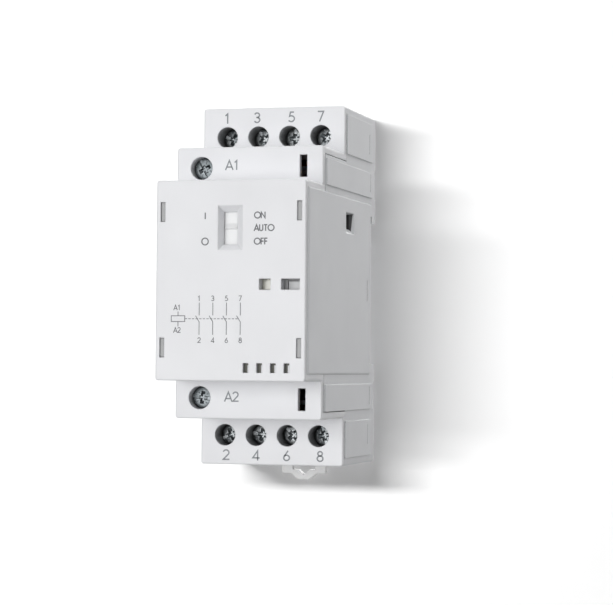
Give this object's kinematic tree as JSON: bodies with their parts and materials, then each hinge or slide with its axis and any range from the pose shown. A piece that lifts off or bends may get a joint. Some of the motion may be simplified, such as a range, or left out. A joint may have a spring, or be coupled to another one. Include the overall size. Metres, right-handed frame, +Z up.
{
  "type": "din rail contactor",
  "caption": "Modular DIN rail contactor with a stepped front, recessed screw clamps, a selector slide, a moving magnet and contact carrier, and a sprung rail clip.",
  "frame": {"origin": "centre of the face that seats on the rail, on the rail's centre line", "axes": "+X to the right along the rail, +Y back into the rail, +Z up, seen from the front"},
  "size_m": [0.0356, 0.0624, 0.0896],
  "materials": {
    "housing_plastic": "light grey moulded plastic, fine matt grain",
    "cover_plastic": "light grey moulded plastic, smooth satin",
    "selector_plastic": "white moulded plastic",
    "clip_plastic": "light grey moulded plastic",
    "inner_plastic": "black moulded plastic",
    "lens_plastic": "milky cream, slightly translucent",
    "flag_plastic": "mid grey moulded plastic",
    "board_laminate": "green solder resist",
    "zinc_steel": "bright zinc plate",
    "clamp_steel": "zinc-plated pressed steel",
    "core_iron": "stacked laminations, bare edges",
    "contact_copper": "copper alloy strip with silver contacts",
    "winding_wire": "enamelled copper wire",
    "spring_steel": "spring wire",
    "marking_ink": "grey pad-printed marking"
  },
  "bodies": {
    "body": {"main_housing": "housing_plastic", "front_cover": "cover_plastic", "fixed_core": "core_iron", "coil_bobbin": "inner_plastic", "coil_winding": "winding_wire", "coil_tab_a1": "contact_copper", "coil_tab_a2": "contact_copper", "control_board": "board_laminate", "led_lens": "lens_plastic", "return_spring_left": "spring_steel", "return_spring_right": "spring_steel", "fixed_contact_1": "contact_copper", "fixed_contact_2": "contact_copper", "fixed_contact_3": "contact_copper", "fixed_contact_4": "contact_copper", "fixed_contact_5": "contact_copper", "fixed_contact_6": "contact_copper", "fixed_contact_7": "contact_copper", "fixed_contact_8": "contact_copper"},
    "moving_contacts": {"contact_carrier": "inner_plastic", "armature": "core_iron", "indicator_flag": "flag_plastic", "contact_bridge_1": "contact_copper", "contact_bridge_2": "contact_copper", "contact_bridge_3": "contact_copper", "contact_bridge_4": "contact_copper", "contact_spring_1": "spring_steel", "contact_spring_2": "spring_steel", "contact_spring_3": "spring_steel", "contact_spring_4": "spring_steel"},
    "selector": {"selector_slider": "selector_plastic"},
    "rail_clip": {"din_clip": "clip_plastic"},
    "screw_1": {"terminal_screw_1": "zinc_steel"},
    "clamp_1": {"terminal_cage_1": "clamp_steel"},
    "screw_3": {"terminal_screw_3": "zinc_steel"},
    "clamp_3": {"terminal_cage_3": "clamp_steel"},
    "screw_5": {"terminal_screw_5": "zinc_steel"},
    "clamp_5": {"terminal_cage_5": "clamp_steel"},
    "screw_7": {"terminal_screw_7": "zinc_steel"},
    "clamp_7": {"terminal_cage_7": "clamp_steel"},
    "screw_2": {"terminal_screw_2": "zinc_steel"},
    "clamp_2": {"terminal_cage_2": "clamp_steel"},
    "screw_4": {"terminal_screw_4": "zinc_steel"},
    "clamp_4": {"terminal_cage_4": "clamp_steel"},
    "screw_6": {"terminal_screw_6": "zinc_steel"},
    "clamp_6": {"terminal_cage_6": "clamp_steel"},
    "screw_8": {"terminal_screw_8": "zinc_steel"},
    "clamp_8": {"terminal_cage_8": "clamp_steel"},
    "screw_a1": {"coil_screw_a1": "zinc_steel"},
    "clamp_a1": {"coil_cage_a1": "clamp_steel"},
    "screw_a2": {"coil_screw_a2": "zinc_steel"},
    "clamp_a2": {"coil_cage_a2": "clamp_steel"}
  },
  "joints": [
    {"name": "contacts_close", "type": "slide", "parent": "body", "child": "moving_contacts", "axis": [0, 1, 0], "range_m": [0, 0.0025], "stiffness_N_per_m": 400, "springref_m": -0.006, "deforming": ["return_spring_left", "return_spring_right"]},
    {"name": "selector_slide", "type": "slide", "parent": "body", "child": "selector", "axis": [0, 0, 1], "range_m": [-0.0022, 0.0022]},
    {"name": "clip_pull", "type": "slide", "parent": "body", "child": "rail_clip", "axis": [0, 0, -1], "range_m": [0, 0.003], "stiffness_N_per_m": 1500, "springref_m": -0.002},
    {"name": "screw_1_turn", "type": "hinge", "parent": "body", "child": "screw_1", "pos_m": [-0.01155, 0, 0.0355], "axis": [0, 1, 0], "range_deg": [0, 1442]},
    {"name": "clamp_1_draw", "type": "slide", "parent": "body", "child": "clamp_1", "axis": [0, -1, 0], "range_m": [0, 0.0028]},
    {"name": "screw_3_turn", "type": "hinge", "parent": "body", "child": "screw_3", "pos_m": [-0.00385, 0, 0.0355], "axis": [0, 1, 0], "range_deg": [0, 1442]},
    {"name": "clamp_3_draw", "type": "slide", "parent": "body", "child": "clamp_3", "axis": [0, -1, 0], "range_m": [0, 0.0028]},
    {"name": "screw_5_turn", "type": "hinge", "parent": "body", "child": "screw_5", "pos_m": [0.00385, 0, 0.0355], "axis": [0, 1, 0], "range_deg": [0, 1442]},
    {"name": "clamp_5_draw", "type": "slide", "parent": "body", "child": "clamp_5", "axis": [0, -1, 0], "range_m": [0, 0.0028]},
    {"name": "screw_7_turn", "type": "hinge", "parent": "body", "child": "screw_7", "pos_m": [0.01155, 0, 0.0355], "axis": [0, 1, 0], "range_deg": [0, 1442]},
    {"name": "clamp_7_draw", "type": "slide", "parent": "body", "child": "clamp_7", "axis": [0, -1, 0], "range_m": [0, 0.0028]},
    {"name": "screw_2_turn", "type": "hinge", "parent": "body", "child": "screw_2", "pos_m": [-0.01155, 0, -0.0355], "axis": [0, 1, 0], "range_deg": [0, 1442]},
    {"name": "clamp_2_draw", "type": "slide", "parent": "body", "child": "clamp_2", "axis": [0, -1, 0], "range_m": [0, 0.0028]},
    {"name": "screw_4_turn", "type": "hinge", "parent": "body", "child": "screw_4", "pos_m": [-0.00385, 0, -0.0355], "axis": [0, 1, 0], "range_deg": [0, 1442]},
    {"name": "clamp_4_draw", "type": "slide", "parent": "body", "child": "clamp_4", "axis": [0, -1, 0], "range_m": [0, 0.0028]},
    {"name": "screw_6_turn", "type": "hinge", "parent": "body", "child": "screw_6", "pos_m": [0.00385, 0, -0.0355], "axis": [0, 1, 0], "range_deg": [0, 1442]},
    {"name": "clamp_6_draw", "type": "slide", "parent": "body", "child": "clamp_6", "axis": [0, -1, 0], "range_m": [0, 0.0028]},
    {"name": "screw_8_turn", "type": "hinge", "parent": "body", "child": "screw_8", "pos_m": [0.01155, 0, -0.0355], "axis": [0, 1, 0], "range_deg": [0, 1442]},
    {"name": "clamp_8_draw", "type": "slide", "parent": "body", "child": "clamp_8", "axis": [0, -1, 0], "range_m": [0, 0.0028]},
    {"name": "screw_a1_turn", "type": "hinge", "parent": "body", "child": "screw_a1", "pos_m": [-0.01165, 0, 0.02645], "axis": [0, 1, 0], "range_deg": [0, 1262]},
    {"name": "clamp_a1_draw", "type": "slide", "parent": "body", "child": "clamp_a1", "axis": [0, -1, 0], "range_m": [0, 0.00175]},
    {"name": "screw_a2_turn", "type": "hinge", "parent": "body", "child": "screw_a2", "pos_m": [-0.01165, 0, -0.02645], "axis": [0, 1, 0], "range_deg": [0, 1262]},
    {"name": "clamp_a2_draw", "type": "slide", "parent": "body", "child": "clamp_a2", "axis": [0, -1, 0], "range_m": [0, 0.00175]}
  ],
  "couplings": [
    {"joint": "screw_1_turn", "follows": "clamp_1_draw", "rad_per_m": 8976},
    {"joint": "screw_3_turn", "follows": "clamp_3_draw", "rad_per_m": 8976},
    {"joint": "screw_5_turn", "follows": "clamp_5_draw", "rad_per_m": 8976},
    {"joint": "screw_7_turn", "follows": "clamp_7_draw", "rad_per_m": 8976},
    {"joint": "screw_2_turn", "follows": "clamp_2_draw", "rad_per_m": 8976},
    {"joint": "screw_4_turn", "follows": "clamp_4_draw", "rad_per_m": 8976},
    {"joint": "screw_6_turn", "follows": "clamp_6_draw", "rad_per_m": 8976},
    {"joint": "screw_8_turn", "follows": "clamp_8_draw", "rad_per_m": 8976},
    {"joint": "screw_a1_turn", "follows": "clamp_a1_draw", "rad_per_m": 12566},
    {"joint": "screw_a2_turn", "follows": "clamp_a2_draw", "rad_per_m": 12566}
  ]
}
